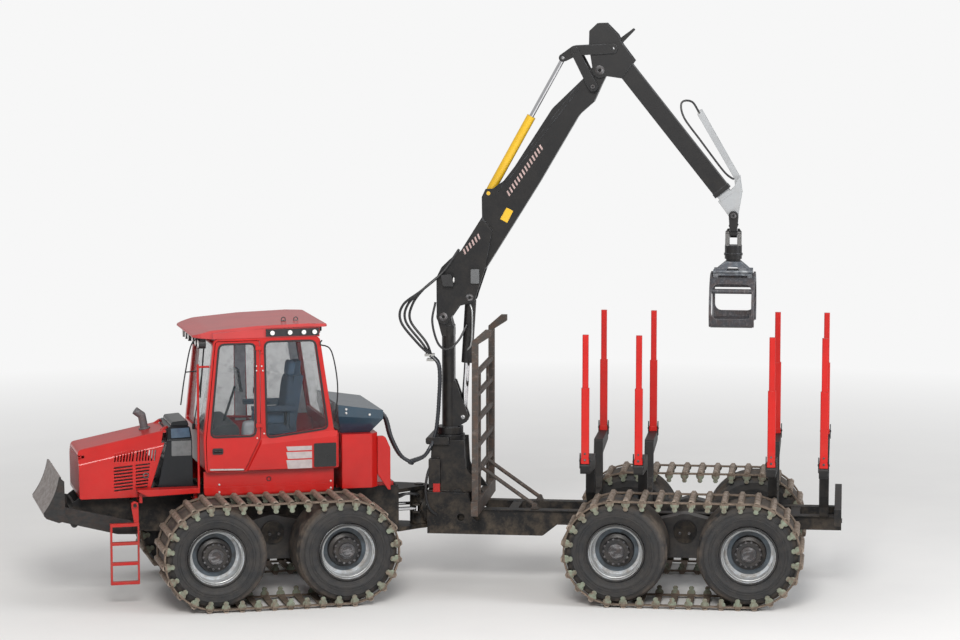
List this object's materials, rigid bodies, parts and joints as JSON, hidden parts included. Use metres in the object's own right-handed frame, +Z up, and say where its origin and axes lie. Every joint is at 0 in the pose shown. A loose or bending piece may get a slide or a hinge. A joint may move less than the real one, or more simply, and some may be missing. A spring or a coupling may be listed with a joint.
{
  "type": "forestry forwarder",
  "caption": "Articulated forestry forwarder with bogie tracks, a cab, a blade, a load bay with stakes and a folding crane with a grapple.",
  "frame": {"origin": "on the ground under the middle of the whole machine's box", "axes": "+X forward along the tractor, +Y to its left, +Z up; the wagon stands turned by 21 degrees about the steering pin"},
  "size_m": [10.6634, 4.8864, 7.418],
  "materials": {
    "red_paint": "worn satin paint",
    "black_paint": "satin paint with rubbed edges",
    "blue_black_paint": "semi-gloss paint",
    "yellow_paint": "gloss paint",
    "white_paint": "gloss paint",
    "silver_paint": "satin paint, dusty",
    "worn_steel": "ground bright on the edges",
    "muddy_steel": "rusty and muddy",
    "chrome_rod": "polished",
    "tyre_rubber": "dusty",
    "pane": "slightly tinted",
    "seat_cloth": "woven",
    "black_plastic": "moulded",
    "engine_iron": "painted casting"
  },
  "bodies": {
    "tractor": {"front_frame": "black_paint", "engine": "engine_iron", "cab_shell": "red_paint", "cab_roof": "red_paint", "cab_glass": "pane", "seat": "seat_cloth", "cowl": "black_paint", "side_skirts": "red_paint", "rear_box": "blue_black_paint", "rear_tank": "red_paint", "step_tray": "red_paint", "work_lamps": "black_plastic"},
    "hood": {"hood": "red_paint", "grille": "red_paint", "exhaust": "worn_steel"},
    "cab_door": {"cab_door": "red_paint", "door_glass": "pane"},
    "blade": {"blade": "worn_steel"},
    "blade_barrel": {"blade_barrel": "black_paint"},
    "blade_rod": {"blade_rod": "chrome_rod"},
    "ladder": {"ladder": "red_paint"},
    "bogie_front_left": {"bogie_front_left": "silver_paint", "tyres_front_left": "tyre_rubber", "track_front_left": "muddy_steel"},
    "bogie_front_right": {"bogie_front_right": "silver_paint", "tyres_front_right": "tyre_rubber", "track_front_right": "muddy_steel"},
    "mid_joint": {"mid_joint": "black_paint"},
    "steer_barrel_left": {"steer_barrel_left": "black_paint"},
    "steer_rod_left": {"steer_rod_left": "chrome_rod"},
    "steer_barrel_right": {"steer_barrel_right": "black_paint"},
    "steer_rod_right": {"steer_rod_right": "chrome_rod"},
    "wagon": {"rear_frame": "black_paint", "crane_base": "black_paint", "headboard": "silver_paint", "bunks": "black_paint", "stakes": "red_paint"},
    "bogie_rear_left": {"bogie_rear_left": "silver_paint", "tyres_rear_left": "tyre_rubber", "track_rear_left": "muddy_steel"},
    "bogie_rear_right": {"bogie_rear_right": "silver_paint", "tyres_rear_right": "tyre_rubber", "track_rear_right": "muddy_steel"},
    "column": {"column": "black_paint"},
    "boom": {"boom": "black_paint"},
    "lift_barrel": {"lift_barrel": "black_paint"},
    "lift_rod": {"lift_rod": "chrome_rod"},
    "arm_barrel": {"arm_barrel": "yellow_paint"},
    "arm_rod": {"arm_rod": "chrome_rod"},
    "strut": {"strut": "black_paint"},
    "top_link": {"top_link": "black_paint"},
    "arm": {"arm": "black_paint"},
    "extension": {"extension": "white_paint"},
    "tip_link": {"tip_link": "black_paint"},
    "rotator": {"rotator": "black_paint"},
    "grapple": {"grapple_frame": "worn_steel"},
    "jaw_left": {"jaw_left": "worn_steel"},
    "jaw_right": {"jaw_right": "worn_steel"}
  },
  "joints": [
    {"name": "steering", "type": "hinge", "parent": "tractor", "child": "mid_joint", "pos_m": [0.28168, -0.90315, 1.005], "axis": [0, 0, 1], "range_deg": [-21, 63]},
    {"name": "roll", "type": "hinge", "parent": "mid_joint", "child": "wagon", "pos_m": [0.18832, -0.86732, 1.005], "axis": [-0.9336, 0.3584, 0], "range_deg": [-18, 18]},
    {"name": "bogie_front_left", "type": "hinge", "parent": "tractor", "child": "bogie_front_left", "pos_m": [2.39168, 0.24185, 0.8653], "axis": [0, 1, 0], "range_deg": [-15, 15]},
    {"name": "bogie_front_right", "type": "hinge", "parent": "tractor", "child": "bogie_front_right", "pos_m": [2.39168, -2.04815, 0.8653], "axis": [0, 1, 0], "range_deg": [-15, 15]},
    {"name": "bogie_rear_left", "type": "hinge", "parent": "wagon", "child": "bogie_rear_left", "pos_m": [-2.65954, 1.45234, 0.8653], "axis": [0.3584, 0.9336, 0], "range_deg": [-15, 15]},
    {"name": "bogie_rear_right", "type": "hinge", "parent": "wagon", "child": "bogie_rear_right", "pos_m": [-3.4802, -0.68556, 0.8653], "axis": [0.3584, 0.9336, 0], "range_deg": [-15, 15]},
    {"name": "slew", "type": "hinge", "parent": "wagon", "child": "column", "pos_m": [-0.11042, -0.75264, 2], "axis": [0, 0, 1], "range_deg": [-190, 175]},
    {"name": "boom_lift", "type": "hinge", "parent": "column", "child": "boom", "pos_m": [-0.04881, -0.77629, 3.557], "axis": [0.3584, 0.9336, 0], "range_deg": [-36, 24]},
    {"name": "arm_fold", "type": "hinge", "parent": "boom", "child": "arm", "pos_m": [-1.96358, -0.04128, 6.806], "axis": [-0.3584, -0.9336, 0], "range_deg": [-90, 45]},
    {"name": "extension", "type": "slide", "parent": "arm", "child": "extension", "axis": [0.5821, -0.2234, 0.7818], "range_m": [-1.6, 0]},
    {"name": "tip_swing", "type": "hinge", "parent": "extension", "child": "tip_link", "pos_m": [-3.59548, 0.58515, 4.925], "axis": [0.3584, 0.9336, 0], "range_deg": [-85, 85]},
    {"name": "rotator_swing", "type": "hinge", "parent": "tip_link", "child": "rotator", "pos_m": [-3.59548, 0.58515, 4.69], "axis": [0.9336, -0.3584, 0], "range_deg": [-40, 40]},
    {"name": "rotator", "type": "hinge", "parent": "rotator", "child": "grapple", "pos_m": [-3.59548, 0.58515, 4.327], "axis": [0, 0, 1], "continuous": true},
    {"name": "jaw_left", "type": "hinge", "parent": "grapple", "child": "jaw_left", "pos_m": [-3.56143, 0.67384, 4.12], "axis": [0.9336, -0.3584, 0], "range_deg": [-35, 45]},
    {"name": "jaw_right", "type": "hinge", "parent": "grapple", "child": "jaw_right", "pos_m": [-3.62952, 0.49646, 4.12], "axis": [-0.9336, 0.3584, 0], "range_deg": [-35, 45]},
    {"name": "cab_door", "type": "hinge", "parent": "tractor", "child": "cab_door", "pos_m": [2.54368, -0.06715, 2.5], "axis": [0, 0, 1], "range_deg": [0, 80]},
    {"name": "hood", "type": "hinge", "parent": "tractor", "child": "hood", "pos_m": [3.69668, -0.90315, 2.232], "axis": [0, -1, 0], "range_deg": [0, 50]},
    {"name": "blade", "type": "hinge", "parent": "tractor", "child": "blade", "pos_m": [4.14168, -0.90315, 0.98], "axis": [0, 1, 0], "range_deg": [0, 62]},
    {"name": "ladder", "type": "hinge", "parent": "tractor", "child": "ladder", "pos_m": [4.18168, -0.10315, 1.31], "axis": [0, -1, 0], "range_deg": [0, 85]},
    {"name": "lift_barrel", "type": "hinge", "parent": "boom", "child": "lift_barrel", "pos_m": [-0.37369, -0.65158, 3.817], "axis": [0.3584, 0.9336, 0], "range_deg": [-20.4, 30.5]},
    {"name": "lift_rod", "type": "slide", "parent": "lift_barrel", "child": "lift_rod", "axis": [0.0565, -0.0217, -0.9982], "range_m": [-0.222, 0.1486]},
    {"name": "arm_barrel", "type": "hinge", "parent": "boom", "child": "arm_barrel", "pos_m": [-0.60055, -0.5645, 5.19], "axis": [-0.3584, -0.9336, 0], "range_deg": [-0.79, 0.5]},
    {"name": "arm_rod", "type": "slide", "parent": "arm_barrel", "child": "arm_rod", "axis": [-0.4512, 0.1732, 0.8754], "range_m": [-0.496, 0.249]},
    {"name": "strut", "type": "hinge", "parent": "boom", "child": "strut", "pos_m": [-1.88329, -0.0721, 6.594], "axis": [-0.3584, -0.9336, 0], "range_deg": [-56.9, 28.55]},
    {"name": "top_link", "type": "hinge", "parent": "strut", "child": "top_link", "pos_m": [-1.66017, -0.15775, 7.058], "axis": [-0.3584, -0.9336, 0], "range_deg": [-3.35, 6.5]},
    {"name": "steer_barrel_left", "type": "hinge", "parent": "tractor", "child": "steer_barrel_left", "pos_m": [1.24168, -0.66815, 1.005], "axis": [0, 0, 1], "range_deg": [-0.75, 0.38]},
    {"name": "steer_rod_left", "type": "slide", "parent": "steer_barrel_left", "child": "steer_rod_left", "axis": [-0.9988, -0.0491, 0], "range_m": [-0.07, 0.2059]},
    {"name": "steer_barrel_right", "type": "hinge", "parent": "tractor", "child": "steer_barrel_right", "pos_m": [1.24168, -1.13815, 1.005], "axis": [0, 0, 1], "range_deg": [-0.75, 0.38]},
    {"name": "steer_rod_right", "type": "slide", "parent": "steer_barrel_right", "child": "steer_rod_right", "axis": [-0.9991, 0.0422, 0], "range_m": [-0.2075, 0.0705]},
    {"name": "blade_barrel", "type": "hinge", "parent": "tractor", "child": "blade_barrel", "pos_m": [4.18168, -0.90315, 1.285], "axis": [0, 1, 0], "range_deg": [-0.2, 49.08]},
    {"name": "blade_rod", "type": "slide", "parent": "blade_barrel", "child": "blade_rod", "axis": [0.9181, 0, -0.3964], "range_m": [-0.002, 0.2621]}
  ],
  "couplings": [
    {"joint": "jaw_right", "follows": "jaw_left", "ratio": 1},
    {"joint": "lift_barrel", "follows": "boom_lift", "ratio": -0.8417},
    {"joint": "lift_rod", "follows": "boom_lift", "m_per_rad": 0.3501},
    {"joint": "arm_barrel", "follows": "arm_fold", "ratio": 0.0066},
    {"joint": "arm_rod", "follows": "arm_fold", "m_per_rad": 0.3145},
    {"joint": "strut", "follows": "arm_fold", "ratio": 0.63},
    {"joint": "top_link", "follows": "arm_fold", "ratio": -0.07},
    {"joint": "steer_barrel_left", "follows": "steering", "ratio": -0.0087},
    {"joint": "steer_rod_left", "follows": "steering", "m_per_rad": 0.1854},
    {"joint": "steer_barrel_right", "follows": "steering", "ratio": -0.0088},
    {"joint": "steer_rod_right", "follows": "steering", "m_per_rad": -0.1869},
    {"joint": "blade_barrel", "follows": "blade", "ratio": 0.7884},
    {"joint": "blade_rod", "follows": "blade", "m_per_rad": 0.2404}
  ]
}
